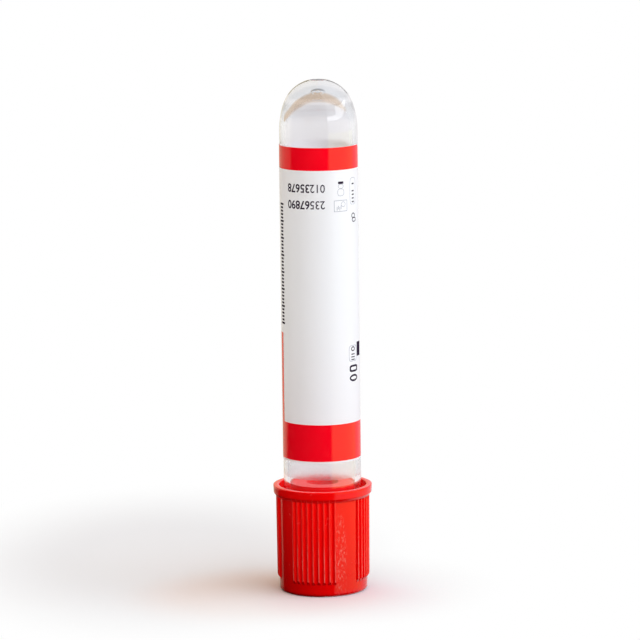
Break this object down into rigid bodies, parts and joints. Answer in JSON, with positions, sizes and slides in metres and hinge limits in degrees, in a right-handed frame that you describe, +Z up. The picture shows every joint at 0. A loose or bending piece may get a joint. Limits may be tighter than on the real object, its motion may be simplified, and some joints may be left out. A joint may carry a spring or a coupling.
{
  "type": "blood collection tube",
  "caption": "Clear round-ended blood collection tube closed by a rubber stopper under a ribbed red safety cap, with a red-banded label that leaves a clear window.",
  "frame": {"origin": "centre of the cap's end face, on the surface that the tube stands on", "axes": "+Z up along the tube's axis, from the cap to the round end; -Y is the printed front"},
  "size_m": [0.0166, 0.0166, 0.086],
  "materials": {
    "tube": "clear moulded polyester, with a faint milky coat inside",
    "stopper": "matt moulded red rubber",
    "cap": "glossy moulded red plastic, lightly scuffed",
    "label": "satin white film with red bands and small dark print"
  },
  "bodies": {
    "cap": {"cap": "cap"},
    "stopper": {"stopper": "stopper"},
    "tube": {"tube": "tube", "label": "label"}
  },
  "joints": [
    {"name": "cap_twist", "type": "hinge", "parent": "cap", "child": "stopper", "pos_m": [0, 0, 0], "axis": [0, 0, 1], "continuous": true},
    {"name": "tube_pull", "type": "slide", "parent": "stopper", "child": "tube", "axis": [0, 0, 1], "range_m": [0, 0.025]}
  ]
}
